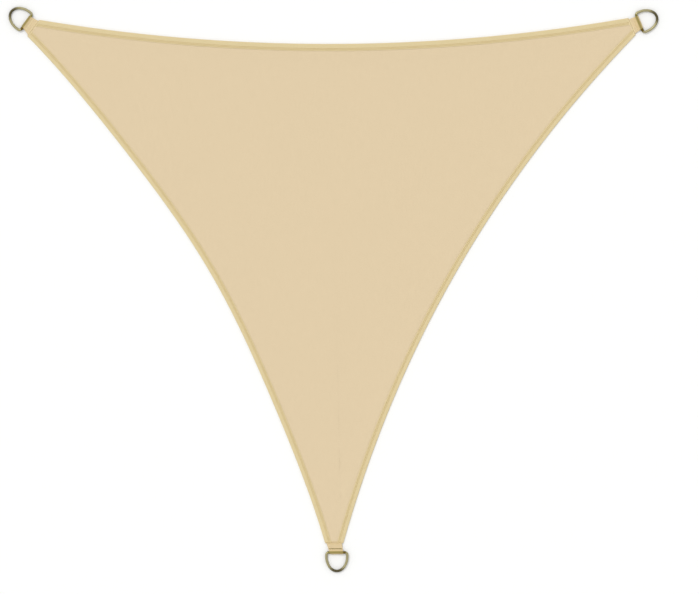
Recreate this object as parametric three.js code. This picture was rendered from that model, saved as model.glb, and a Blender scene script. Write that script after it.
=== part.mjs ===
// A triangular shade sail with a D-ring at each corner, laid out flat on the ground.
// Millimetres, +Z up. The origin is on the ground under the middle of the sail's outer box.
import * as THREE from "three";

// Materials' thicknesses, and the small clearance between any two pieces.
const CLOTH_THICK = 1.4;
const WEBBING_THICK = 1.2;
const GAP = 0.3;

// Edge tape: one webbing strip folded over the cloth's edge. Stations are steps along one side.
const TAPE_STATIONS = 36;
const BISECTIONS = 40;
const FOLD_STEPS = 6;
const STACK = CLOTH_THICK + 2 * (WEBBING_THICK + GAP);

// The cloth lies on the ground and climbs a little to enter the tape. Each row is one loop drawn in
// towards the sail's centre: its share of the way there, and its share of the climb.
const CLOTH_LIFT = WEBBING_THICK + GAP;
const CLOTH_LOOPS = [
  { inward: 0, climb: 1 },
  { inward: 0.08, climb: 1 },
  { inward: 0.11, climb: 0.75 },
  { inward: 0.14, climb: 0.25 },
  { inward: 0.17, climb: 0 },
];

// D-ring: a round rod bent to a straight bar, two tight bends and an oval bow.
const ROD_RADIUS = 4;
const BEND_RADIUS = 8;
const BOW_HALF_WIDTH = 33.2;
const BOW_SHIFT = 2;
const BOW_BELLY = 13;
const RING_DEPTH = 59;
const RING_STEPS = 64;
const ROD_SIDES = 10;

// Corner tab: a strap folded round the ring's bar, its two ends sewn over and under the cloth's tip.
const TAB_HALF_AT_BAR = 21.5;
const TAB_INSET_AT_SEAM = 4.5;
const TAB_RAMP = 17;
const TAB_ARC_STEPS = 14;
const TIP_INSET = 2.5;
const TIP_SHOULDER = 3;
const TIP_LENGTH = 15;
const WRAP_RADIUS = ROD_RADIUS + GAP + WEBBING_THICK;

// Corners: the middle of each ring's bar, the way its ring points in plan, the distance from the bar
// to the end of its tab, and the side to which its bow swells.
const CORNERS = {
  left: { bar: [-975.2, 850.15], heading: 143.4, seam: 28, swell: 1 },
  right: { bar: [971.7, 848.65], heading: 23, seam: 26, swell: -1 },
  front: { bar: [8.6, -835.55], heading: 270, seam: 29.5, swell: 1 },
};

// Sides, clockwise from above. "ends" names the two corners each runs between, "from" and "to" are
// where its drawn-in curve starts and stops there, "sag" is how far it bows in at its middle,
// "ripple" the height of the slow wave along it, and "tape" the width of its folded tape.
const SIDES = {
  back: {
    ends: ["left", "right"], from: [-982.4, 865.35], to: [979.6, 870.85], sag: 87.3, ripple: 0, tape: 22.5,
  },
  right: {
    ends: ["right", "front"], from: [996.6, 845.75], to: [21.1, -844.25], sag: 130.5, ripple: 0, tape: 20,
  },
  left: {
    ends: ["front", "left"], from: [-17.9, -850.25], to: [-1009.4, 836.75], sag: 131.9, ripple: 3.7, tape: 20,
  },
};

const clothFinish = new THREE.MeshStandardMaterial({ color: 0xe2ceae, roughness: 0.85, metalness: 0 });
const tapeFinish = new THREE.MeshStandardMaterial({ color: 0xd9c592, roughness: 0.8, metalness: 0 });
const tabFinish = new THREE.MeshStandardMaterial({ color: 0xe0caa2, roughness: 0.8, metalness: 0 });
const ringFinish = new THREE.MeshStandardMaterial({ color: 0x8c8450, roughness: 0.35, metalness: 1 });

const radians = THREE.MathUtils.degToRad;
const lerp = THREE.MathUtils.lerp;

// A closed solid over loops of equal point counts; both end loops are capped flat.
function loft(loops, capOutline) {
  const count = capOutline.length;
  const index = [];
  for (let i = 0; i + 1 < loops.length; i++) {
    for (let j = 0; j < count; j++) {
      const a = i * count + j;
      const b = i * count + ((j + 1) % count);
      index.push(a, b, b + count, a, b + count, a + count);
    }
  }
  const last = (loops.length - 1) * count;
  const turned = THREE.ShapeUtils.isClockWise(capOutline);
  for (const face of THREE.ShapeUtils.triangulateShape(capOutline, [])) {
    const [p, q, r] = face.map((k) => capOutline[k]);
    const sameTurn = THREE.ShapeUtils.isClockWise([p, q, r]) === turned;
    const [a, b, c] = sameTurn ? face : [face[0], face[2], face[1]];
    index.push(a, c, b, last + a, last + b, last + c);
  }
  const points = loops.flat().flatMap((point) => point.toArray());
  const geometry = new THREE.BufferGeometry();
  geometry.setAttribute("position", new THREE.Float32BufferAttribute(points, 3));
  geometry.setIndex(index);
  geometry.computeVertexNormals();
  return geometry;
}

function namedMesh(name, geometry, material) {
  const mesh = new THREE.Mesh(geometry, material);
  mesh.name = name;
  return mesh;
}

// A point on a side at share s of its chord, set in from the outer edge: the chord, bowed in as a
// parabola with a slow cosine ripple, then moved along the curve's own inward normal.
function edgePoint(side, s, inset) {
  const start = new THREE.Vector2(...side.from);
  const chord = new THREE.Vector2(...side.to).sub(start);
  const inward = new THREE.Vector2(chord.y, -chord.x).normalize();
  const turn = 4 * Math.PI;
  const bow = 4 * side.sag * s * (1 - s) + side.ripple * Math.cos(turn * s);
  const slope = 4 * side.sag * (1 - 2 * s) - side.ripple * turn * Math.sin(turn * s);
  const along = chord.clone().addScaledVector(inward, slope);
  const normal = new THREE.Vector2(along.y, -along.x).normalize();
  return start.addScaledVector(chord, s).addScaledVector(inward, bow).addScaledVector(normal, inset);
}

// A point's place in a corner's own frame: depth in from the bar, and offset along the bar.
function inCorner(corner, point) {
  const local = point.clone().sub(new THREE.Vector2(...corner.bar));
  local.rotateAround(new THREE.Vector2(), -radians(corner.heading));
  return { depth: -local.x, offset: local.y };
}

function fromCorner(corner, depth, offset) {
  const point = new THREE.Vector2(-depth, offset);
  point.rotateAround(new THREE.Vector2(), radians(corner.heading));
  return point.add(new THREE.Vector2(...corner.bar));
}

// The share of a side's chord at which an inset curve crosses the seam line of its corner: 0 is the
// corner it starts from, and 1 the corner it runs to.
function seamShare(side, whichEnd, inset) {
  const corner = CORNERS[side.ends[whichEnd]];
  let outside = whichEnd;
  let inside = 0.5;
  for (let i = 0; i < BISECTIONS; i++) {
    const middle = (outside + inside) / 2;
    const { depth } = inCorner(corner, edgePoint(side, middle, inset));
    if (depth < corner.seam + GAP) outside = middle;
    else inside = middle;
  }
  return outside;
}

// The same inset curve from one corner's seam to the next, as evenly stepped points.
function insetCurve(side, inset) {
  const first = seamShare(side, 0, inset);
  const last = seamShare(side, 1, inset);
  return Array.from({ length: TAPE_STATIONS + 1 }, (_, i) =>
    edgePoint(side, lerp(first, last, i / TAPE_STATIONS), inset));
}

// The tab's two long edges at a depth: straight from the bar to just inside the sail's own edges.
function tabEdges(name, depth) {
  const corner = CORNERS[name];
  return [1, 0].map((whichEnd) => {
    const side = Object.values(SIDES).find(({ ends }) => ends[whichEnd] === name);
    const seamPoint = edgePoint(side, seamShare(side, whichEnd, TAB_INSET_AT_SEAM), TAB_INSET_AT_SEAM);
    const atSeam = inCorner(corner, seamPoint).offset;
    const atBar = whichEnd ? TAB_HALF_AT_BAR : -TAB_HALF_AT_BAR;
    return lerp(atBar, atSeam, depth / corner.seam);
  });
}

// The cloth's trimmed tip inside a tab: a shoulder, then a short tongue that ends before the bar.
function clothTip(name) {
  const corner = CORNERS[name];
  const row = (depth) => tabEdges(name, depth).map((offset) => offset - Math.sign(offset) * TIP_INSET);
  const shoulder = corner.seam - TIP_SHOULDER;
  const end = corner.seam - TIP_LENGTH;
  const [shoulderIn, shoulderOut] = row(shoulder);
  const [endIn, endOut] = row(end);
  return [
    fromCorner(corner, shoulder, shoulderIn),
    fromCorner(corner, end, endIn),
    fromCorner(corner, end, endOut),
    fromCorner(corner, shoulder, shoulderOut),
  ];
}

// The cloth: its outline's loops over the top face, then back under the bottom face.
function clothPanel() {
  const outline = Object.values(SIDES).flatMap((side) =>
    [...insetCurve(side, WEBBING_THICK + GAP), ...clothTip(side.ends[1])]);
  const centre = new THREE.Vector2();
  Object.values(CORNERS).forEach(({ bar }) => centre.add(new THREE.Vector2(...bar).divideScalar(3)));
  const drawnIn = (share) => outline.map((point) => point.clone().lerp(centre, share));
  const loopAt = ({ inward, climb }, height) =>
    drawnIn(inward).map(({ x, y }) => new THREE.Vector3(x, y, climb * CLOTH_LIFT + height));
  const bottom = CLOTH_LOOPS.map((loop) => loopAt(loop, 0));
  const top = CLOTH_LOOPS.map((loop) => loopAt(loop, CLOTH_THICK));
  const innermost = drawnIn(CLOTH_LOOPS.at(-1).inward);
  return loft([...top.reverse(), ...bottom], innermost);
}

// The folded tape's section as (inset, height): round at the fold, with a slot for the cloth's edge.
function tapeSection(width) {
  const fold = STACK / 2;
  const slotTop = STACK - WEBBING_THICK;
  const section = [
    [width, STACK],
    [width, slotTop],
    [WEBBING_THICK, slotTop],
    [WEBBING_THICK, WEBBING_THICK],
    [width, WEBBING_THICK],
    [width, 0],
  ];
  for (let i = 0; i <= FOLD_STEPS; i++) {
    const turn = Math.PI * (i / FOLD_STEPS + 0.5);
    section.push([fold + fold * Math.cos(turn), fold - fold * Math.sin(turn)]);
  }
  return section;
}

function edgeTape(side) {
  const section = tapeSection(side.tape);
  const runs = section.map(([inset]) => insetCurve(side, inset));
  const loops = runs[0].map((_, i) =>
    section.map(([, height], j) => new THREE.Vector3(runs[j][i].x, runs[j][i].y, height)));
  return loft(loops, section.map(([inset, height]) => new THREE.Vector2(inset, height)));
}

// The tab's side view: along the ground, round the bar, down a ramp and flat over the cloth's tip.
function tabProfile(seam) {
  const shape = new THREE.Shape();
  const reach = Math.hypot(TAB_RAMP, WRAP_RADIUS - STACK);
  const drop = Math.atan2(WRAP_RADIUS - STACK, TAB_RAMP);
  const leave = Math.PI + drop - Math.acos(WRAP_RADIUS / reach);
  const inner = WRAP_RADIUS - WEBBING_THICK;
  const under = STACK - WEBBING_THICK;
  const innerDrop = WRAP_RADIUS + inner * Math.sin(leave) - under;
  const rampFoot = inner * Math.cos(leave) - innerDrop * Math.tan(Math.PI - leave);
  shape.moveTo(-seam, 0);
  shape.lineTo(0, 0);
  shape.absarc(0, WRAP_RADIUS, WRAP_RADIUS, -Math.PI / 2, leave, false);
  shape.lineTo(-TAB_RAMP, STACK);
  shape.lineTo(-seam, STACK);
  shape.lineTo(-seam, under);
  shape.lineTo(rampFoot, under);
  shape.absarc(0, WRAP_RADIUS, inner, leave, -Math.PI / 2, true);
  shape.lineTo(-seam, WEBBING_THICK);
  shape.closePath();
  return shape;
}

// The side view pulled out to a unit width, then spread to the tab's own edges at every depth.
function cornerTab(name) {
  const shape = tabProfile(CORNERS[name].seam);
  const geometry = new THREE.ExtrudeGeometry(shape, {
    depth: 1,
    bevelEnabled: false,
    curveSegments: TAB_ARC_STEPS,
  });
  geometry.rotateX(Math.PI / 2);
  const position = geometry.getAttribute("position");
  for (let i = 0; i < position.count; i++) {
    const [high, low] = tabEdges(name, -position.getX(i));
    position.setY(i, lerp(high, low, -position.getY(i)));
  }
  return geometry;
}

// The rod's centre line: x runs out from the bar, y along it. The bow swells past one end of the bar.
class RingLine extends THREE.Curve {
  constructor(swell) {
    super();
    this.swell = swell;
    const low = BOW_SHIFT - BOW_HALF_WIDTH;
    const high = BOW_SHIFT + BOW_HALF_WIDTH;
    const quarter = Math.PI / 2;
    this.line = new THREE.Path();
    this.line.moveTo(0, high - BEND_RADIUS);
    this.line.lineTo(0, low + BEND_RADIUS);
    this.line.absarc(BEND_RADIUS, low + BEND_RADIUS, BEND_RADIUS, 2 * quarter, 3 * quarter, false);
    this.line.lineTo(BOW_BELLY, low);
    this.line.absellipse(BOW_BELLY, BOW_SHIFT, RING_DEPTH - BOW_BELLY, BOW_HALF_WIDTH, -quarter, quarter);
    this.line.lineTo(BEND_RADIUS, high);
    this.line.absarc(BEND_RADIUS, high - BEND_RADIUS, BEND_RADIUS, quarter, 2 * quarter, false);
  }

  getPoint(t, target = new THREE.Vector3()) {
    const { x, y } = this.line.getPoint(t);
    return target.set(x, y * this.swell, 0);
  }
}

const sail = new THREE.Group();
sail.add(namedMesh("panel", clothPanel(), clothFinish));

for (const [name, side] of Object.entries(SIDES)) {
  sail.add(namedMesh(`edge_tape_${name}`, edgeTape(side), tapeFinish));
}

// Each corner's frame has +X out along the ring and +Y along the bar. The ring leans down from the
// bar's height in the strap until its bow touches the ground.
for (const [name, corner] of Object.entries(CORNERS)) {
  const group = new THREE.Group();
  group.position.set(...corner.bar, 0);
  group.rotation.z = radians(corner.heading);
  const line = new RingLine(corner.swell);
  const rod = new THREE.TubeGeometry(line, RING_STEPS, ROD_RADIUS, ROD_SIDES, true);
  const ring = namedMesh(`d_ring_${name}`, rod, ringFinish);
  ring.position.z = WRAP_RADIUS;
  ring.rotation.y = Math.asin((WRAP_RADIUS - ROD_RADIUS) / RING_DEPTH);
  group.add(namedMesh(`corner_tab_${name}`, cornerTab(name), tabFinish), ring);
  sail.add(group);
}

export default sail;
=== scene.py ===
import bpy
import numpy as np
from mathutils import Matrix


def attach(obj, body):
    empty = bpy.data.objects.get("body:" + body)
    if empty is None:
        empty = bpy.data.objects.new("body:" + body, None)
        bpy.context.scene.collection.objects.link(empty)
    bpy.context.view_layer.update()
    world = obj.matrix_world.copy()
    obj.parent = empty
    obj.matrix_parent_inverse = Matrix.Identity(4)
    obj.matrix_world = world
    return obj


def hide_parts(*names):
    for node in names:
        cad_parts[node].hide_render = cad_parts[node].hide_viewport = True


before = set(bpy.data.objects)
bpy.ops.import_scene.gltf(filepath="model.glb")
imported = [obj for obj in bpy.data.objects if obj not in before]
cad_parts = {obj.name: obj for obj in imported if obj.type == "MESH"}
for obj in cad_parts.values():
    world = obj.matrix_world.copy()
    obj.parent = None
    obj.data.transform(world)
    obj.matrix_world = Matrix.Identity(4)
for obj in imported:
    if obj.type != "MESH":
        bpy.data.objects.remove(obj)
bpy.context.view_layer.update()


# ---------------------------------------------------------------------------- cloth panel
# One triangle of knitted shade cloth with drawn-in sides. Its edges are caught in the folded tapes
# and its trimmed tips in the corner straps. It lies on the ground and climbs a little to meet them.
MM = 0.001
GAP = 0.3
CLOTH_THICK = 1.4
WEBBING_THICK = 1.2
CLOTH_LIFT = WEBBING_THICK + GAP

# Each corner: the middle of the ring's bar, the way the ring points in plan, the distance from the
# bar to the end of the strap's tab, and the side to which the ring's bow swells.
CORNERS = {
    "left": dict(bar=(-975.2, 850.15), heading=143.4, seam=28, swell=1),
    "right": dict(bar=(971.7, 848.65), heading=23, seam=26, swell=-1),
    "front": dict(bar=(8.6, -835.55), heading=270, seam=29.5, swell=1),
}

# Sides, clockwise from above: the corners each runs between, where its drawn-in curve starts and
# stops, how far it bows in at its middle, the slow wave along it, and its folded tape's width.
SIDES = {
    "back": dict(
        ends=("left", "right"), start=(-982.4, 865.35), stop=(979.6, 870.85),
        sag=87.3, ripple=0, tape=22.5,
    ),
    "right": dict(
        ends=("right", "front"), start=(996.6, 845.75), stop=(21.1, -844.25),
        sag=130.5, ripple=0, tape=20,
    ),
    "left": dict(
        ends=("front", "left"), start=(-17.9, -850.25), stop=(-1009.4, 836.75),
        sag=131.9, ripple=3.7, tape=20,
    ),
}
SEAM_TABLE = 1500
CORNER_REACH = 0.06


def chord_frame(side):
    """A side's start, its chord, and the unit direction at right angles to it, into the sail."""
    start = np.array(side["start"], float)
    chord = np.subtract(side["stop"], start)
    return start, chord, np.array([chord[1], -chord[0]]) / np.hypot(*chord)


def bow(side, share):
    """How far a side is drawn in from its chord: a parabola, and a cosine of two waves."""
    return 4 * side["sag"] * share * (1 - share) + side["ripple"] * np.cos(4 * np.pi * share)


def side_points(side, share, inset):
    """Points of a side: along the chord by share, in by the bow, then in by inset along the curve's
    own normal, which is at right angles to chord + inward * (the bow's slope)."""
    start, chord, inward = chord_frame(side)
    slope = 4 * side["sag"] * (1 - 2 * share) - 4 * np.pi * side["ripple"] * np.sin(4 * np.pi * share)
    along = chord + slope[..., None] * inward
    normal = np.stack([along[..., 1], -along[..., 0]], -1)
    normal /= np.linalg.norm(normal, axis=-1, keepdims=True)
    on_curve = start + share[..., None] * chord + bow(side, share)[..., None] * inward
    return on_curve + np.asarray(inset)[..., None] * normal


def corner_axes(corner):
    """The directions out along a corner's ring, and along its bar."""
    turn = np.radians(corner["heading"])
    return np.array([np.cos(turn), np.sin(turn)]), np.array([-np.sin(turn), np.cos(turn)])


def in_corner(corner, points):
    """Depth in from the ring's bar, and offset along it."""
    out, along = corner_axes(corner)
    moved = points - np.array(corner["bar"])
    return -(moved @ out), moved @ along


def from_corner(corner, depth, offset):
    """The point at a depth in from a corner's bar and an offset along it."""
    out, along = corner_axes(corner)
    return np.array(corner["bar"]) - depth[..., None] * out + offset[..., None] * along


def seam_share(side, end, inset):
    """The share of a side at which its curve, set in by inset, meets the seam across a corner: the
    first station of a fine table that lies deeper than the seam."""
    corner = CORNERS[side["ends"][end]]
    near = np.linspace(0, CORNER_REACH, SEAM_TABLE)
    share = 1 - near if end else near
    depth, _ = in_corner(corner, side_points(side, share[:, None], inset))
    return share[np.argmax(depth > corner["seam"] + GAP, axis=0)]


def side_shares(side, inset, count):
    """Even shares of a side from one corner's seam to the other's, a row for each station and a
    column for each inset."""
    return np.linspace(seam_share(side, 0, inset), seam_share(side, 1, inset), count)


def smooth(value):
    """Rises from 0 to 1 as value does, with level ends: 3 v^2 - 2 v^3."""
    held = np.clip(value, 0, 1)
    return held * held * (3 - 2 * held)


TAB_HALF_AT_BAR = 21.5
TAB_INSET_AT_SEAM = 4.5
TIP_INSET = 2.5
TIP_SHOULDER = 3
TIP_LENGTH = 15


def tab_edges(name, depth):
    """A tab's two long edges as offsets along the bar at a depth: straight from the bar to just
    inside the sail's own outline at the seam. The first is where a side arrives at the corner."""
    corner = CORNERS[name]
    inset = np.array([TAB_INSET_AT_SEAM])
    edges = []
    for end, at_bar in ((1, TAB_HALF_AT_BAR), (0, -TAB_HALF_AT_BAR)):
        side = next(side for side in SIDES.values() if side["ends"][end] == name)
        _, at_seam = in_corner(corner, side_points(side, seam_share(side, end, inset), inset))
        edges.append(at_bar + (at_seam[0] - at_bar) * depth / corner["seam"])
    return edges


# The cloth is set down in loops drawn in towards the sail's middle, close together at the edge. Its
# relief is low: it stays within a millimetre or so of lying flat.
EDGE_STATIONS = 170
CLOTH_LOOPS = 68
LOOP_CROWDING = 1.7
LAST_LOOP = 0.985
FALL_WIDTH = 62
PUCKER = dict(height=0.55, rise=7, reach=20, waves=(33, 52))
PULL = dict(height=0.8, start=55, rise=60, reach=230, spokes=(9, 15), crowding=3)
BILLOW = dict(height=0.9, lengths=(410, 530), slants=(0.4, 0.3))
FULL_TURN = 2 * np.pi


def cloth_underside(points):
    """Height of the cloth's underside over the ground: the tape's thickness at the edges, falling to
    nothing over a soft step in from each tape, plus sums of sines that never reach below the ground:
    short puckers along the sewing, pulls that fan out of each corner, and long low billows. Each is a
    height times the sines raised to run from 0 to 1, times a fading."""
    flat = 1
    rise = 0
    for number, side in enumerate(SIDES.values()):
        start, chord, inward = chord_frame(side)
        share = (points - start) @ chord / (chord @ chord)
        past_tape = (points - start) @ inward - bow(side, share) - side["tape"]
        flat = flat * smooth(past_tape / FALL_WIDTH)
        ripple = sum(np.sin(FULL_TURN * waves * share + number * waves) for waves in PUCKER["waves"])
        fading = np.exp(-np.clip(past_tape, 0, None) / PUCKER["reach"])
        rise = rise + PUCKER["height"] * smooth(past_tape / PUCKER["rise"]) * fading * (2 + ripple) / 4
    for corner in CORNERS.values():
        depth, offset = in_corner(corner, points)
        far = np.hypot(depth, offset)
        spread = np.arctan2(offset, depth)
        folds = sum(np.sin(spokes * spread * PULL["crowding"] + spokes) for spokes in PULL["spokes"])
        fading = smooth((far - PULL["start"]) / PULL["rise"]) * np.exp(-far / PULL["reach"])
        rise = rise + PULL["height"] * fading * (2 + folds) / 4
    x, y = points[..., 0], points[..., 1]
    (long, wide), (lean, counter) = BILLOW["lengths"], BILLOW["slants"]
    billow = np.sin(FULL_TURN * (x + lean * y) / long) * np.sin(FULL_TURN * (y - counter * x) / wide)
    return CLOTH_LIFT * (1 - flat) + rise + flat * BILLOW["height"] * (1 + billow) / 2


def tubes(name, rings, closed=False, run=None, crease=35):
    """A mesh of closed skins from an array of tubes, rings, points and coordinates. Quads join each
    ring to the next. The last ring of a closed tube is joined to its first, and both end rings of
    any other are zipped flat, their points paired from the two sides. The faces are turned outwards
    by the sign of the volume they hold. run is carried by the points as an attribute."""
    index = np.arange(rings[..., 0].size).reshape(rings.shape[:3])
    here, ahead = (index, np.roll(index, -1, 1)) if closed else (index[:, :-1], index[:, 1:])
    quads = [np.stack([here, np.roll(here, -1, 2), np.roll(ahead, -1, 2), ahead], -1).reshape(-1, 4)]
    if not closed:
        up = np.arange(rings.shape[2] // 2 - 1)
        down = rings.shape[2] - 1 - up
        for ring, order in ((index[:, 0], -1), (index[:, -1], 1)):
            zipped = np.stack([ring[:, up], ring[:, up + 1], ring[:, down - 1], ring[:, down]], -1)
            quads.append(zipped[..., ::order].reshape(-1, 4))
    quads = np.concatenate(quads)
    points = rings.reshape(-1, 3) * MM
    a, b, c, d = (points[quads[:, i]] for i in range(4))
    volume = (np.cross(a, b) * c).sum() + (np.cross(a, c) * d).sum()
    mesh = bpy.data.meshes.new(name)
    mesh.from_pydata(points, [], quads if volume > 0 else quads[:, ::-1])
    if run is not None:
        mesh.attributes.new("run", "FLOAT_VECTOR", "POINT").data.foreach_set("vector", run.ravel())
    mesh.shade_smooth()
    mesh.set_sharp_from_angle(angle=np.radians(crease))
    piece = bpy.data.objects.new(name, mesh)
    bpy.context.scene.collection.objects.link(piece)
    return piece


def linear(colour):
    """An sRGB hex colour as linear RGBA, by the standard curve."""
    srgb = np.array([int(colour[i:i + 2], 16) for i in (1, 3, 5)]) / 255
    rgb = np.where(srgb > 0.04045, ((srgb + 0.055) / 1.055) ** 2.4, srgb / 12.92)
    return (*rgb.tolist(), 1)


def add(material, kind, sockets=(), **settings):
    """Adds one node with its settings, and gives each named socket its value or its link."""
    node = material.node_tree.nodes.new(kind)
    for setting, value in settings.items():
        setattr(node, setting, value)
    for socket, value in dict(sockets).items():
        if isinstance(value, bpy.types.NodeSocket):
            material.node_tree.links.new(value, node.inputs[socket])
        else:
            node.inputs[socket].default_value = value
    return node


def new_finish(name):
    """A material with an empty node tree."""
    material = bpy.data.materials.new(name)
    material.use_nodes = True
    material.node_tree.nodes.clear()
    return material


def band_scale(pitch):
    """The Wave Texture's scale for bands this many millimetres apart: a band is pi / 10 long at 1."""
    return np.pi / 10 / (pitch * MM)


# The Mix node's sockets, by place: share, first and second colour, and the mixed colour.
SHARE, FIRST, SECOND, MIXED = 0, 6, 7, 2

# Knitted polyethylene shade cloth: flat tape yarn laid in zigzags between upright chains of loops, the
# wales, with small gaps left open between that are painted dark as shade. From a step away it is matt
# and even. The wales are 2.5 mm apart, as in the real cloth.
WALE_PITCH = 2.5
COURSE_PITCH = 2.3
ZIGZAG_CLIMB = 0.9
CHAIN_WIDTH = 0.6
KNIT_UNEVEN = 0.7
YARN_RELIEF = 0.3
cloth_finish = new_finish("knitted polyethylene shade cloth")
place = add(cloth_finish, "ShaderNodeTexCoord").outputs["Object"]
pull = add(cloth_finish, "ShaderNodeTexNoise", {"Vector": place, "Scale": 40, "Detail": 1}).outputs["Color"]
pulled = add(
    cloth_finish, "ShaderNodeVectorMath", {0: pull, 1: (KNIT_UNEVEN * MM,) * 3, 2: place},
    operation="MULTIPLY_ADD",
).outputs["Vector"]
pulled = add(cloth_finish, "ShaderNodeSeparateXYZ", {0: pulled})
off_wale = add(
    cloth_finish, "ShaderNodeMath", {0: pulled.outputs["X"], 1: WALE_PITCH / 2 * MM}, operation="PINGPONG"
).outputs["Value"]
zigzag = add(
    cloth_finish, "ShaderNodeMath", {0: off_wale, 1: ZIGZAG_CLIMB, 2: pulled.outputs["Y"]},
    operation="MULTIPLY_ADD",
).outputs["Value"]
zigzag = add(cloth_finish, "ShaderNodeCombineXYZ", {"Y": zigzag}).outputs["Vector"]
courses = add(
    cloth_finish, "ShaderNodeTexWave",
    {"Vector": zigzag, "Scale": band_scale(COURSE_PITCH), "Distortion": 0, "Detail": 0},
    bands_direction="Y",
).outputs["Fac"]
tape_yarn = add(
    cloth_finish, "ShaderNodeMapRange", {"Value": courses, "From Min": 0.05, "From Max": 0.5, "To Max": 0.7},
    interpolation_type="SMOOTHSTEP",
).outputs["Result"]
chain = add(
    cloth_finish, "ShaderNodeMapRange",
    {"Value": off_wale, "From Min": CHAIN_WIDTH * MM, "From Max": CHAIN_WIDTH / 3 * MM},
    interpolation_type="SMOOTHSTEP",
).outputs["Result"]
knit = add(
    cloth_finish, "ShaderNodeMath", {0: chain, 1: 0.3, 2: tape_yarn}, operation="MULTIPLY_ADD", use_clamp=True
).outputs["Value"]
drawn_out = add(cloth_finish, "ShaderNodeMapping", {"Vector": place, "Scale": (400, 25, 1)}).outputs["Vector"]
sockets = {"Vector": drawn_out, "Scale": 1, "Detail": 4}
streaks = add(cloth_finish, "ShaderNodeTexNoise", sockets).outputs["Fac"]
yarn = add(
    cloth_finish, "ShaderNodeMix",
    {SHARE: streaks, FIRST: linear("#e1cdaa"), SECOND: linear("#ebd7b5")}, data_type="RGBA",
).outputs[MIXED]
# Painted shade: the gaps between the yarns take the darker colour.
shaded = add(
    cloth_finish, "ShaderNodeMix", {SHARE: knit, FIRST: linear("#c2ae8b"), SECOND: yarn}, data_type="RGBA"
).outputs[MIXED]
relief = add(
    cloth_finish, "ShaderNodeBump", {"Height": knit, "Distance": YARN_RELIEF * MM, "Strength": 0.7}
).outputs["Normal"]
shader = add(cloth_finish, "ShaderNodeBsdfPrincipled", {
    "Base Color": shaded, "Roughness": 0.78, "IOR": 1.5, "Specular IOR Level": 0.3,
    "Sheen Weight": 0.12, "Sheen Roughness": 0.5, "Normal": relief,
})
add(cloth_finish, "ShaderNodeOutputMaterial", {"Surface": shader.outputs["BSDF"]})

edge_inset = np.array([WEBBING_THICK + GAP])
outline = []
for side in SIDES.values():
    outline.append(side_points(side, side_shares(side, edge_inset, EDGE_STATIONS), edge_inset)[:, 0])
    tip = side["ends"][1]
    depth = CORNERS[tip]["seam"] - np.array([TIP_SHOULDER, TIP_LENGTH])
    arriving, leaving = tab_edges(tip, depth)
    outline.append(from_corner(CORNERS[tip], depth, arriving - TIP_INSET))
    outline.append(from_corner(CORNERS[tip], depth[::-1], leaving[::-1] + TIP_INSET))
outline = np.concatenate(outline)
middle = np.mean([corner["bar"] for corner in CORNERS.values()], axis=0)
drawn_in = LAST_LOOP * np.linspace(0, 1, CLOTH_LOOPS) ** LOOP_CROWDING
cloth_loops = outline + drawn_in[:, None, None] * (middle - outline)
cloth_under = np.dstack([cloth_loops, cloth_underside(cloth_loops)])
cloth_over = cloth_under + np.array([0, 0, CLOTH_THICK])
panel = tubes("cloth_panel", np.concatenate([cloth_over[::-1], cloth_under])[None])
panel.data.materials.append(cloth_finish)
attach(panel, "root")
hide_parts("panel")


# ---------------------------------------------------------------------------- edge tapes
# A polyester webbing folded over each edge of the cloth and sewn through both layers. It ends at the
# seam across each corner, where the corner strap starts.
STACK = CLOTH_THICK + 2 * (WEBBING_THICK + GAP)
FOLD_RADIUS = STACK / 2
TAPE_STATIONS = 300
SELVAGE_STEPS = 24
FOLD_STEPS = 9
SELVAGE_CROWDING = 1.6
SEWN_ROWS = {"back": (14.8, 18.6), "right": (12.3, 16.1), "left": (12.3, 16.1)}
SEWN_DIP = 0.28
SEWN_DIP_WIDTH = 1.5
TAPE_PUCKER = 0.16
SELVAGE_WANDER = 0.022
SELVAGE_TAPER = 3.2
SELVAGE_THIN = 0.45
TAPE_SQUARENESS = 60
PUCKER_WAVES = (61, 87, 140)
UPPER_SELVAGE_WAVES = (19, 41, 67)
LOWER_SELVAGE_WAVES = (23, 37, 71)


def rounded_edge(share, sharpness):
    """The part of a strip's thickness that is left at a share of its half width: a superellipse,
    full over the middle and rounded off at share 1."""
    return np.sqrt(np.clip(1 - np.abs(share) ** sharpness, 0, 1))


def wander(share, waves):
    """A slow unevenness along a side, from -1 to 1: the mean of sines of the given numbers of waves."""
    return sum(np.sin(FULL_TURN * count * share + count) for count in waves) / len(waves)


def sewn_relief(side, name, share, inset):
    """How far a tape's face is pulled in: a soft trough along each sewn row, and a slow pucker."""
    troughs = sum(np.exp(-(((inset - row) / SEWN_DIP_WIDTH) ** 2)) for row in SEWN_ROWS[name])
    return SEWN_DIP * troughs + TAPE_PUCKER * (1 + wander(share, PUCKER_WAVES)) / 2


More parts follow.
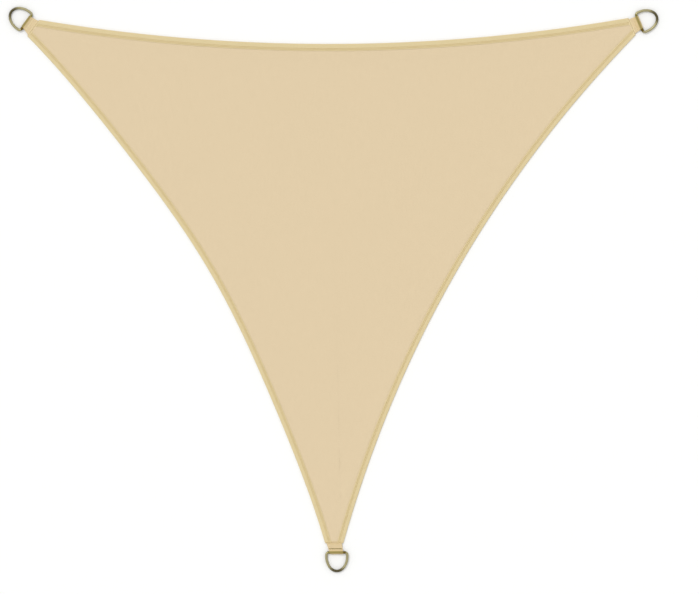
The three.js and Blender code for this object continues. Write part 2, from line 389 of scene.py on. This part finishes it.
def folded_tape(side, name):
    """The tape's outer and inner skins. Its middle line runs in the section from the upper selvage
    straight out to the fold, round a half circle and straight back below: with t the angle turned at
    the fold, inset = R - r sin t + the straight left on either side, and height = R + r cos t. The
    skins lie half the webbing's thickness to either side of it along its normal (-sin t, cos t). Its
    run holds the distances along the tape and across it, and the inset."""
    radius = FOLD_RADIUS - WEBBING_THICK / 2
    straight = side["tape"] - FOLD_RADIUS
    arc = np.pi * radius
    steps = np.linspace(0, 1, SELVAGE_STEPS) ** SELVAGE_CROWDING
    fold = np.linspace(0, 1, FOLD_STEPS + 2)[1:-1]
    returning = straight + arc + straight * (1 - steps[::-1])
    across = np.concatenate([straight * steps, straight + arc * fold, returning])
    turned = np.clip((across - straight) / radius, 0, np.pi)
    upper, lower = np.clip(straight - across, 0, None), np.clip(across - straight - arc, 0, None)
    flat_inset = FOLD_RADIUS - radius * np.sin(turned) + upper + lower
    share = side_shares(side, flat_inset, TAPE_STATIONS)
    wandering = np.where(lower > 0, wander(share, LOWER_SELVAGE_WAVES), wander(share, UPPER_SELVAGE_WAVES))
    stretch = 1 + SELVAGE_WANDER * wandering
    inset = FOLD_RADIUS - radius * np.sin(turned) + (upper + lower) * stretch
    half = WEBBING_THICK / 2 * rounded_edge(2 * across / across[-1] - 1, TAPE_SQUARENESS)
    half = half * (1 - SELVAGE_THIN * (1 - smooth(np.minimum(across, across[-1] - across) / SELVAGE_TAPER)))
    pulled = sewn_relief(side, name, share, inset) * np.cos(turned)
    skins = []
    for way in (1, -1):
        height = FOLD_RADIUS + (radius + way * half) * np.cos(turned) - pulled
        skin = side_points(side, share, inset - way * half * np.sin(turned))
        skins.append(np.dstack([skin, height]))
    along = share * np.hypot(*chord_frame(side)[1])
    run = np.dstack([along, np.broadcast_to(across, along.shape), inset]) * MM
    return np.concatenate([skins[0], skins[1][:, ::-1]], 1)[None], np.concatenate([run, run[:, ::-1]], 1)


# Woven polyester webbing: its face is all warp yarns, which run along the strip and dive under a weft
# yarn in turn, so it shows rows of small grains, each row half a grain on from the next. Real yarns
# are about 1 mm apart, drawn a little coarser.
WARP_PITCH = 1.7
WEFT_PITCH = 2.4
WEAVE_RELIEF = 0.35


def woven(material, light, dark, groove_shade):
    """A webbing's place along its strip, its colour and its bump. The distance along is shifted by
    half a weft pitch for each whole warp pitch across, then a wave along it times one across makes
    the grains. A long noise gives uneven dye, and painted shade darkens the grooves between the grains."""
    strip = add(material, "ShaderNodeAttribute", attribute_name="run").outputs["Vector"]
    place = add(material, "ShaderNodeSeparateXYZ", {0: strip})
    sockets = {0: place.outputs["Y"], 1: WARP_PITCH * MM}
    row = add(material, "ShaderNodeMath", sockets, operation="SNAP").outputs["Value"]
    sockets = {0: row, 1: WEFT_PITCH / WARP_PITCH / 2, 2: place.outputs["X"]}
    staggered = add(material, "ShaderNodeMath", sockets, operation="MULTIPLY_ADD").outputs["Value"]
    sockets = {"X": staggered, "Y": place.outputs["Y"]}
    staggered = add(material, "ShaderNodeCombineXYZ", sockets).outputs["Vector"]
    waves = []
    for pitch, way in ((WEFT_PITCH, "X"), (WARP_PITCH, "Y")):
        sockets = {"Vector": staggered, "Scale": band_scale(pitch), "Distortion": 0, "Detail": 0}
        wave = add(material, "ShaderNodeTexWave", sockets, bands_direction=way).outputs["Fac"]
        sockets = {"Value": wave, "From Max": 0.6}
        full = add(material, "ShaderNodeMapRange", sockets, interpolation_type="SMOOTHSTEP")
        waves.append(full.outputs["Result"])
    sockets = {0: waves[0], 1: waves[1]}
    grains = add(material, "ShaderNodeMath", sockets, operation="MULTIPLY").outputs["Value"]
    uneven = add(material, "ShaderNodeTexNoise", {"Vector": strip, "Scale": 28, "Detail": 3}).outputs["Fac"]
    sockets = {SHARE: uneven, FIRST: linear(dark), SECOND: linear(light)}
    dyed = add(material, "ShaderNodeMix", sockets, data_type="RGBA").outputs[MIXED]
    # Painted shade: the grooves between the grains take the groove colour.
    sockets = {SHARE: grains, FIRST: linear(groove_shade), SECOND: dyed}
    shaded = add(material, "ShaderNodeMix", sockets, data_type="RGBA").outputs[MIXED]
    sockets = {"Height": grains, "Distance": WEAVE_RELIEF * MM, "Strength": 0.7}
    return strip, shaded, add(material, "ShaderNodeBump", sockets).outputs["Normal"]


tape_finish = new_finish("woven polyester edge webbing")
_, tape_colour, tape_bump = woven(tape_finish, "#ebdaae", "#e2d1a3", "#ccb98b")
shader = add(tape_finish, "ShaderNodeBsdfPrincipled", {
    "Base Color": tape_colour, "Roughness": 0.8, "IOR": 1.5, "Specular IOR Level": 0.3,
    "Sheen Weight": 0.1, "Sheen Roughness": 0.5, "Normal": tape_bump,
})
add(tape_finish, "ShaderNodeOutputMaterial", {"Surface": shader.outputs["BSDF"]})

for name, side in SIDES.items():
    rings, run = folded_tape(side, name)
    tape = tubes(f"edge_webbing_{name}", rings, run=run)
    tape.data.materials.append(tape_finish)
    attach(tape, "root")
    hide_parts(f"edge_tape_{name}")


# ---------------------------------------------------------------------------- sewing along the tapes
# A twin-needle machine sews each tape down with two rows of lockstitch, side by side just inside the
# inner selvage, in a golden thread. A stitch shows on both faces as a short loop that dives into the
# webbing at each end.
STITCH_PITCH = 4.6
STITCH_LENGTH = 3.9
THREAD_RADIUS = 0.52
THREAD_SIDES = 6
STITCH_WANDER = 0.12
STITCH_ALONG = np.array([-1, -0.72, 0, 0.72, 1])
STITCH_HEIGHT = np.array([-0.75, 0.12, 0.34, 0.12, -0.75])
rng = np.random.default_rng(7)


def stitch_row(side, name, row, face):
    """Short tubes along a side at one inset, on the upper face (1) or the lower (-1): each follows the
    side by its own share, rises in a low arch, and has rings in the plane of inward and up."""
    inset = np.array([row])
    first, last = (seam_share(side, end, inset)[0] for end in (0, 1))
    long = np.hypot(*chord_frame(side)[1])
    count = round((last - first) * long / STITCH_PITCH)
    middle_share = first + (last - first) * (np.arange(count) + 0.5) / count
    share = middle_share[:, None] + STITCH_ALONG * STITCH_LENGTH / 2 / long
    off_line = row + STITCH_WANDER * rng.standard_normal((count, 1)) + 0 * share
    spine = side_points(side, share, off_line)
    inward = side_points(side, share, off_line + 1) - spine
    surface = FOLD_RADIUS + face * (FOLD_RADIUS - sewn_relief(side, name, share, off_line))
    height = surface + face * STITCH_HEIGHT
    turn = FULL_TURN * np.arange(THREAD_SIDES) / THREAD_SIDES
    plan = spine[:, :, None] + THREAD_RADIUS * np.cos(turn)[:, None] * inward[:, :, None]
    level = height[:, :, None] + THREAD_RADIUS * np.sin(turn)
    return np.concatenate([plan, level[..., None]], -1)


PLY_PITCH = 1.6


def sewing_thread(name, dark, light):
    """Bonded polyester thread: three plies twisted together show as slanting bands under a thin satin
    bond, each with a painted highlight on its crown and painted shade in its groove."""
    material = new_finish(name)
    place = add(material, "ShaderNodeTexCoord").outputs["Object"]
    plies = add(
        material, "ShaderNodeTexWave",
        {"Vector": place, "Scale": band_scale(PLY_PITCH), "Distortion": 0.5, "Detail": 0},
        bands_direction="DIAGONAL",
    ).outputs["Fac"]
    # Painted light and shade: the light colour on each ply's crown, the dark in its groove.
    sockets = {SHARE: plies, FIRST: linear(dark), SECOND: linear(light)}
    colour = add(material, "ShaderNodeMix", sockets, data_type="RGBA").outputs[MIXED]
    twist = add(material, "ShaderNodeBump", {"Height": plies, "Distance": 0.1 * MM, "Strength": 0.6})
    shader = add(material, "ShaderNodeBsdfPrincipled", {
        "Base Color": colour, "Roughness": 0.55, "IOR": 1.5, "Normal": twist.outputs["Normal"],
    })
    add(material, "ShaderNodeOutputMaterial", {"Surface": shader.outputs["BSDF"]})
    return material


# Thread in a golden tan, a shade deeper than the webbing, so the rows read as fine golden lines.
thread_finish = sewing_thread("bonded polyester sewing thread", "#b3965a", "#c9ac70")

for name, side in SIDES.items():
    rows = [stitch_row(side, name, row, face) for row in SEWN_ROWS[name] for face in (1, -1)]
    seam = tubes(f"tape_stitching_{name}", np.concatenate(rows), crease=80)
    seam.data.materials.append(thread_finish)
    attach(seam, "root")


# ---------------------------------------------------------------------------- corner tabs
# A strap folded round the ring's bar. Both of its ends are sewn, above and below, to the cloth's
# trimmed tip, and it is pinched down hard against the bar so that it grips the ring.
ROD_RADIUS = 4
WRAP_RADIUS = ROD_RADIUS + GAP + WEBBING_THICK
WRAP_END = np.radians(128)
NECK_DEPTH = 14.5
NECK_PULL = 9
TAB_STATIONS = 44
TAB_STEPS = dict(under=22, wrap=22, neck=14, over=20)
TAB_BAR_ROW = 11.5
TAB_SEAM_ROW = 2.2
TAB_DIP = 0.22
TAB_CROWN = 0.35
TAB_CROWDING = 1.5
TAB_END_SQUARENESS = 90
TAB_EDGE_SQUARENESS = 50
# How far out from the bar's middle each strap's band of painted shade lies.
ROLL_SHADE_AT = {"left": 1.6, "right": -1.4, "front": -0.4}


def strap_line(seam):
    """The strap's middle line in side view, as (out, up) from the bar's foot: along the ground, round
    the bar on a circle, down a cubic neck, and flat on to the seam."""
    mid = WRAP_RADIUS - WEBBING_THICK / 2
    low, high = WEBBING_THICK / 2, STACK - WEBBING_THICK / 2
    ease = np.linspace(0, 1, TAB_STEPS["under"]) ** TAB_CROWDING
    under = np.stack([-seam * (1 - ease), np.full_like(ease, low)], 1)
    angle = np.linspace(-np.pi / 2, WRAP_END, TAB_STEPS["wrap"])[1:]
    wrap = np.stack([mid * np.cos(angle), WRAP_RADIUS + mid * np.sin(angle)], 1)
    t = np.linspace(0, 1, TAB_STEPS["neck"])[1:, None]
    leave = NECK_PULL * np.array([-np.sin(WRAP_END), np.cos(WRAP_END)])
    neck = (
        (2 * t**3 - 3 * t**2 + 1) * wrap[-1] + (t**3 - 2 * t**2 + t) * leave
        + (3 * t**2 - 2 * t**3) * np.array([-NECK_DEPTH, high]) + (t**3 - t**2) * np.array([-NECK_PULL, 0])
    )
    ease = 1 - np.linspace(1, 0, TAB_STEPS["over"])[1:] ** TAB_CROWDING
    over = np.stack([-NECK_DEPTH - (seam - NECK_DEPTH) * ease, np.full_like(ease, high)], 1)
    return np.concatenate([under, wrap, neck, over])


def corner_strap(name):
    """The strap's outer and inner skins: its side view, spread across between the tab's two edges at
    each depth, crowned a little over its width and dipped along its two sewn rows. Its run holds the
    distances along the strap, across it and out from the middle of its band of painted shade. The last
    value is the depth and height of its upper face, for what is sewn on it."""
    corner = CORNERS[name]
    line = strap_line(corner["seam"])
    slope = np.gradient(line, axis=0)
    slope /= np.linalg.norm(slope, axis=1, keepdims=True)
    outward = np.stack([slope[:, 1], -slope[:, 0]], 1)
    reach = np.concatenate([[0], np.cumsum(np.hypot(*np.diff(line, axis=0).T))])
    spread = np.sin(np.linspace(-np.pi / 2, np.pi / 2, TAB_STATIONS))[:, None]
    ends = rounded_edge(2 * reach / reach[-1] - 1, TAB_END_SQUARENESS)
    half = WEBBING_THICK / 2 * ends * rounded_edge(spread, TAB_EDGE_SQUARENESS)
    top = (outward[:, 1] > 0) * smooth(-line[:, 0] / NECK_DEPTH)
    dips = sum(
        np.exp(-(((-line[:, 0] - row) / SEWN_DIP_WIDTH) ** 2))
        for row in (TAB_BAR_ROW, corner["seam"] - TAB_SEAM_ROW)
    )
    settle = top * (TAB_CROWN * (1 - spread**2) * (1 - dips) - TAB_DIP * dips)
    skins = []
    for way in (1, -1):
        depth = -(line[:, 0] + way * half * outward[:, 0])
        high, low = tab_edges(name, depth)
        plan = from_corner(corner, depth, low + (high - low) * (spread + 1) / 2)
        skins.append(np.dstack([plan, line[:, 1] + way * half * outward[:, 1] + settle]))
    wide = 2 * TAB_HALF_AT_BAR * spread + 0 * reach
    run = np.dstack([reach + 0 * spread, wide, line[:, 0] - ROLL_SHADE_AT[name] + 0 * spread]) * MM
    surface = line[:, 1] + WEBBING_THICK / 2 + top * (-TAB_DIP * dips)
    rings = np.concatenate([skins[0], skins[1][:, ::-1]], 1)[None]
    return rings, np.concatenate([run, run[:, ::-1]], 1), (-line[:, 0], surface)


# Woven polyester strap, the webbing's sand beige. Along the crest of its roll it carries painted
# shade, a dark gold-olive band that fades out in a golden halo.
ROLL_SHADE_REACH = 3.6
ROLL_SHADE_SOFT = 2.2
ROLL_SHADE_RAGGED = 3.4
HALO_REACH = 10
strap_finish = new_finish("woven polyester corner strap")
strip, strap_colour, strap_bump = woven(strap_finish, "#ecd6ac", "#e6cfa4", "#d0ba90")
past_roll_shade = add(strap_finish, "ShaderNodeSeparateXYZ", {0: strip}).outputs["Z"]
off_roll_shade = add(strap_finish, "ShaderNodeMath", {0: past_roll_shade}, operation="ABSOLUTE").outputs["Value"]
blots = add(strap_finish, "ShaderNodeTexNoise", {"Vector": strip, "Scale": 260, "Detail": 4}).outputs["Fac"]
ragged = add(
    strap_finish, "ShaderNodeMath", {0: blots, 1: ROLL_SHADE_RAGGED * MM, 2: off_roll_shade}, operation="MULTIPLY_ADD"
).outputs["Value"]
# A golden halo, then the dark gold-olive band of painted shade along the roll's crest.
for reach, soft, strength, colour in (
    (HALO_REACH / 2, HALO_REACH / 2, 0.5, "#dabe72"),
    (ROLL_SHADE_REACH, ROLL_SHADE_SOFT, 1, "#97874c"),
):
    edge = reach + ROLL_SHADE_RAGGED / 2
    share = add(
        strap_finish, "ShaderNodeMapRange",
        {"Value": ragged, "From Min": (edge + soft) * MM, "From Max": (edge - soft) * MM, "To Max": strength},
        interpolation_type="SMOOTHSTEP",
    ).outputs["Result"]
    strap_colour = add(
        strap_finish, "ShaderNodeMix", {SHARE: share, FIRST: strap_colour, SECOND: linear(colour)},
        data_type="RGBA",
    ).outputs[MIXED]
shader = add(strap_finish, "ShaderNodeBsdfPrincipled", {
    "Base Color": strap_colour, "Roughness": 0.78, "IOR": 1.5, "Specular IOR Level": 0.3,
    "Sheen Weight": 0.1, "Sheen Roughness": 0.5, "Normal": strap_bump,
})
add(strap_finish, "ShaderNodeOutputMaterial", {"Surface": shader.outputs["BSDF"]})

strap_tops = {}
for name in CORNERS:
    rings, run, strap_tops[name] = corner_strap(name)
    strap = tubes(f"corner_strap_{name}", rings, run=run, crease=50)
    strap.data.materials.append(strap_finish)
    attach(strap, "root")
    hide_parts(f"corner_tab_{name}")


# ---------------------------------------------------------------------------- sewing across the straps
# Each corner is closed with three dense zigzag tacks: one hard against the ring's bar, one along the
# strap's sewn ends, and one just past them that holds down the tips of the tapes and the cloth. They
# go right through, and show above and below.
TACKS = {
    "bar": dict(depth=TAB_BAR_ROW, swing=1.25, zigs=24, margin=0.05),
    "seam": dict(depth=-TAB_SEAM_ROW, swing=1.2, zigs=22, margin=0.04),
    "tip": dict(depth=3.4, swing=1.3, zigs=27, margin=0.02),
}
TACK_STEPS = 8
TACK_RADIUS = 0.5
TACK_RISE = 0.2
TAPE_EDGE_SHARE = 0.1


def sail_edges(name, depth, tape_share):
    """The offsets of a corner's two sides at a depth past its seam, each set in by a share of its own
    tape: read off the side's curve at fine stations near the corner."""
    near = np.linspace(0, CORNER_REACH, SEAM_TABLE)
    edges = []
    for end, share in ((1, 1 - near), (0, near)):
        side = next(side for side in SIDES.values() if side["ends"][end] == name)
        depths, offsets = in_corner(CORNERS[name], side_points(side, share, tape_share * side["tape"]))
        edges.append(np.interp(depth, depths, offsets))
    return edges


def on_strap(name, depth, share):
    """Offset, and height of thread on the strap's upper and lower faces, at a share of the way between
    the tab's edges."""
    high, low = tab_edges(name, depth)
    reach, surface = strap_tops[name]
    upper = slice(-TAB_STEPS["over"] - TAB_STEPS["neck"], None)
    return low + (high - low) * share, np.interp(depth, reach[upper], surface[upper]) + TACK_RISE, 0 * depth


def on_tips(name, depth, share):
    """The same on the sail just past the seam, at a share of the way between the tapes' outer edges:
    the cloth between the two inner selvages, with a soft step on to each tape."""
    high, low = sail_edges(name, depth, TAPE_EDGE_SHARE)
    offset = low + (high - low) * share
    inner_high, inner_low = sail_edges(name, depth, 1)
    on_tape = smooth(np.maximum(offset - inner_high, inner_low - offset) / SELVAGE_TAPER + 0.5)
    lower = cloth_underside(from_corner(CORNERS[name], depth, offset))
    upper = (lower + CLOTH_THICK) * (1 - on_tape) + STACK * on_tape
    return offset, upper + TACK_RISE, lower * (1 - on_tape)


def zigzag_tack(name, row):
    """Two threads in a sine along the bar, swinging to and fro in depth: one laid on the upper face and
    one pulled half into the lower, both with rings at right angles to their own run."""
    corner = CORNERS[name]
    tack = TACKS[row]
    from_bar = tack["depth"] + (0 if row == "bar" else corner["seam"])
    share = np.linspace(tack["margin"], 1 - tack["margin"], tack["zigs"] * TACK_STEPS + 1)
    depth = from_bar + tack["swing"] * np.sin(FULL_TURN * tack["zigs"] * share)
    offset, *heights = (on_tips if row == "tip" else on_strap)(name, depth, share)
    plan = from_corner(corner, depth, offset)
    spine = np.stack([np.column_stack([plan, height]) for height in heights])
    sideways = np.cross([0, 0, 1], np.gradient(spine, axis=1))
    sideways /= np.linalg.norm(sideways, axis=-1, keepdims=True)
    turn = FULL_TURN * np.arange(THREAD_SIDES) / THREAD_SIDES
    around = np.cos(turn)[:, None] * sideways[:, :, None] + np.sin(turn)[:, None] * np.array([0, 0, 1])
    return spine[:, :, None] + TACK_RADIUS * around


# Tacks are sewn in threads of the same make: pale sand at the two back corners, and a deeper sand at
# the front. The right bar tack is in that deeper sand too, and the front one in olive brown.
pale_finish = sewing_thread("bonded polyester tack thread pale sand", "#e6d3a4", "#f5e6bd")
sand_finish = sewing_thread("bonded polyester tack thread sand", "#d6be8a", "#e8d2a0")
brown_finish = sewing_thread("bonded polyester tack thread olive brown", "#75622f", "#93803f")

tack_finishes = {
    "left": dict(bar=pale_finish, seam=pale_finish, tip=pale_finish),
    "right": dict(bar=sand_finish, seam=pale_finish, tip=pale_finish),
    "front": dict(bar=brown_finish, seam=sand_finish, tip=sand_finish),
}
for name, finishes in tack_finishes.items():
    for row, finish in finishes.items():
        sewn = tubes(f"{row}_tack_{name}", zigzag_tack(name, row), crease=80)
        sewn.data.materials.append(finish)
        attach(sewn, "root")


# ---------------------------------------------------------------------------- D-rings
# Round steel rod bent cold to a straight bar, two tight bends and an oval bow, butt welded at one end
# of the bar and antique brass plated. Each leans from the strap down to the ground at its bow.
BEND_RADIUS = 8
BOW_HALF_WIDTH = 33.2
BOW_SHIFT = 2
BOW_BELLY = 13
BEND_POINTS = 60
BOW_POINTS = 240
RING_DEPTH = 59
RING_STEPS = 260
ROD_STEPS = 28
WELD_AT = 24.8
GRIP_AT = -24
WELD_HEIGHT = 0.55
WELD_WIDTH = 2.4


def ring_line(count):
    """Even points round the ring's middle line in its own plane, x out from the bar and y along it:
    the bar, a quarter turn, the belly, half an ellipse to the bow's tip and back, and a quarter turn."""
    low, high = BOW_SHIFT - BOW_HALF_WIDTH, BOW_SHIFT + BOW_HALF_WIDTH
    quarter = np.linspace(0, np.pi / 2, BEND_POINTS)
    half = np.linspace(-np.pi / 2, np.pi / 2, BOW_POINTS)
    parts = [
        (np.zeros(2), np.array([high - BEND_RADIUS, low + BEND_RADIUS])),
        (BEND_RADIUS * (1 - np.cos(quarter)), low + BEND_RADIUS * (1 - np.sin(quarter))),
        (BOW_BELLY + (RING_DEPTH - BOW_BELLY) * np.cos(half), BOW_SHIFT + BOW_HALF_WIDTH * np.sin(half)),
        (BEND_RADIUS * (1 - np.sin(quarter)), high - BEND_RADIUS * (1 - np.cos(quarter))),
    ]
    x, y = (np.concatenate([part[axis] for part in parts]) for axis in (0, 1))
    walked = np.concatenate([[0], np.cumsum(np.hypot(np.diff(x), np.diff(y)))])
    even = np.linspace(0, walked[-1], count, endpoint=False)
    return np.interp(even, walked, x), np.interp(even, walked, y)


def d_ring(corner):
    """A rod round the ring line: rings of points in the plane of its outward normal and up, a little
    thicker at the weld. The ring then leans about its bar, and is set at the strap's height. run holds
    the distances from the strap's grip and from the weld, and how far out along the ring it is."""
    x, y = ring_line(RING_STEPS)
    along = np.stack([np.roll(x, -1) - np.roll(x, 1), np.roll(y, -1) - np.roll(y, 1)], 1)
    along /= np.linalg.norm(along, axis=1, keepdims=True)
    from_weld = np.hypot(x, y - WELD_AT)
    radius = (ROD_RADIUS + WELD_HEIGHT * np.exp(-((from_weld / WELD_WIDTH) ** 2)))[:, None]
    turn = FULL_TURN * np.arange(ROD_STEPS) / ROD_STEPS
    out = x[:, None] + radius * np.cos(turn) * along[:, 1:]
    side = (y[:, None] - radius * np.cos(turn) * along[:, :1]) * corner["swell"]
    up = radius * np.sin(turn)
    lean = np.arcsin((WRAP_RADIUS - ROD_RADIUS) / RING_DEPTH)
    plan = from_corner(corner, -(out * np.cos(lean) + up * np.sin(lean)), side)
    height = WRAP_RADIUS + up * np.cos(lean) - out * np.sin(lean)
    from_grip = np.hypot(x, y - GRIP_AT)
    marks = np.stack([from_grip * MM, from_weld * MM, x / RING_DEPTH], 1)
    run = np.broadcast_to(marks[:, None], (RING_STEPS, ROD_STEPS, 3))
    return np.dstack([plan, height])[None], run


# Antique brass plate, tumbled and lacquered: satin olive grey-gold with fine scuffs from tumbling, darker
# brown round the weld, and darkened by painted shade at the far end of the bow and by the strap's grip.
SCUFF_SIZE = 0.8
brass_finish = new_finish("antique brass plated steel")
place = add(brass_finish, "ShaderNodeTexCoord").outputs["Object"]
carried = add(brass_finish, "ShaderNodeAttribute", attribute_name="run").outputs["Vector"]
marks = add(brass_finish, "ShaderNodeSeparateXYZ", {0: carried})
cloudy = add(brass_finish, "ShaderNodeTexNoise", {"Vector": place, "Scale": 90, "Detail": 4}).outputs["Fac"]
scuffs = add(
    brass_finish, "ShaderNodeTexNoise", {"Vector": place, "Scale": 1 / (SCUFF_SIZE * MM), "Detail": 3}
).outputs["Fac"]


def darkening(socket, start, full):
    """Rises from 0 where one of the ring's run values is at start, to 1 where it is at full."""
    sockets = {"Value": marks.outputs[socket], "From Min": start, "From Max": full}
    return add(
        brass_finish, "ShaderNodeMapRange", sockets, interpolation_type="SMOOTHSTEP"
    ).outputs["Result"]


# Painted shade: the far end of the bow, which is also made rougher.
far_bow = darkening("Z", 0.7, 1)
plate = add(
    brass_finish, "ShaderNodeMix",
    {SHARE: cloudy, FIRST: linear("#98906b"), SECOND: linear("#b3ab85")}, data_type="RGBA",
).outputs[MIXED]
# Painted shade at the far bow and by the strap's grip; a darker brown round the weld.
for share, colour in (
    (far_bow, "#5b543b"),
    (darkening("X", 6 * MM, 2 * MM), "#857c45"),
    (darkening("Y", 8 * MM, 3.5 * MM), "#6c5924"),
):
    plate = add(
        brass_finish, "ShaderNodeMix", {SHARE: share, FIRST: plate, SECOND: linear(colour)}, data_type="RGBA"
    ).outputs[MIXED]
rough = add(
    brass_finish, "ShaderNodeMapRange", {"Value": scuffs, "To Min": 0.28, "To Max": 0.5}
).outputs["Result"]
rough = add(
    brass_finish, "ShaderNodeMath", {0: far_bow, 1: 0.2, 2: rough}, operation="MULTIPLY_ADD"
).outputs["Value"]
hammered = add(
    brass_finish, "ShaderNodeBump", {"Height": scuffs, "Distance": 0.05 * MM, "Strength": 0.4}
).outputs["Normal"]
shader = add(brass_finish, "ShaderNodeBsdfPrincipled", {
    "Base Color": plate, "Metallic": 1.0, "Roughness": rough, "Normal": hammered,
})
add(brass_finish, "ShaderNodeOutputMaterial", {"Surface": shader.outputs["BSDF"]})

for name, corner in CORNERS.items():
    rings, run = d_ring(corner)
    ring = tubes(f"brass_d_ring_{name}", rings, closed=True, run=np.ascontiguousarray(run), crease=80)
    ring.data.materials.append(brass_finish)
    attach(ring, "root")
    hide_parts(f"d_ring_{name}")


# ---------------------------------------------------------------------------- floor, light and camera
# A plain pale floor just under the sail's sewing, a pale sky for even fill, and a soft sun from the
# upper left. The camera looks straight down through a long lens.
FLOOR_DROP = 0.6
FLOOR_HALF = 30000
LENS = 200
SENSOR = 36
VIEW_WIDTH = 2222.6
SUN_TURN = (-27, -24, 0)
SUN_SPREAD = 18
VIEW_MIDDLE = (50.9, -23.75)

floor_finish = new_finish("matt white studio floor")
shader = add(floor_finish, "ShaderNodeBsdfPrincipled", {"Base Color": linear("#f1f1f0"), "Roughness": 0.9})
add(floor_finish, "ShaderNodeOutputMaterial", {"Surface": shader.outputs["BSDF"]})
floor_mesh = bpy.data.meshes.new("floor")
reach = FLOOR_HALF * MM
drop = -FLOOR_DROP * MM
floor_mesh.from_pydata(
    [(-reach, -reach, drop), (reach, -reach, drop), (reach, reach, drop), (-reach, reach, drop)],
    [], [(0, 1, 2, 3)],
)
floor_mesh.materials.append(floor_finish)
floor = bpy.data.objects.new("floor", floor_mesh)
bpy.context.scene.collection.objects.link(floor)

sky = bpy.data.worlds.new("studio sky")
sky.use_nodes = True
sky.node_tree.nodes["Background"].inputs["Color"].default_value = linear("#ffffff")
sky.node_tree.nodes["Background"].inputs["Strength"].default_value = 0.9
bpy.context.scene.world = sky
sun = bpy.data.lights.new("soft sun", "SUN")
sun.energy = 0.95
sun.angle = np.radians(SUN_SPREAD)
sun_object = bpy.data.objects.new("soft sun", sun)
sun_object.rotation_euler = np.radians(SUN_TURN)
bpy.context.scene.collection.objects.link(sun_object)

camera = bpy.data.cameras.new("camera")
camera.lens = LENS
camera.sensor_width = SENSOR
height = VIEW_WIDTH * LENS / SENSOR
camera.clip_end = 2 * height * MM
camera_object = bpy.data.objects.new("camera", camera)
camera_object.location = (VIEW_MIDDLE[0] * MM, VIEW_MIDDLE[1] * MM, height * MM)
bpy.context.scene.collection.objects.link(camera_object)
bpy.context.scene.camera = camera_object
bpy.context.scene.view_settings.view_transform = "Standard"
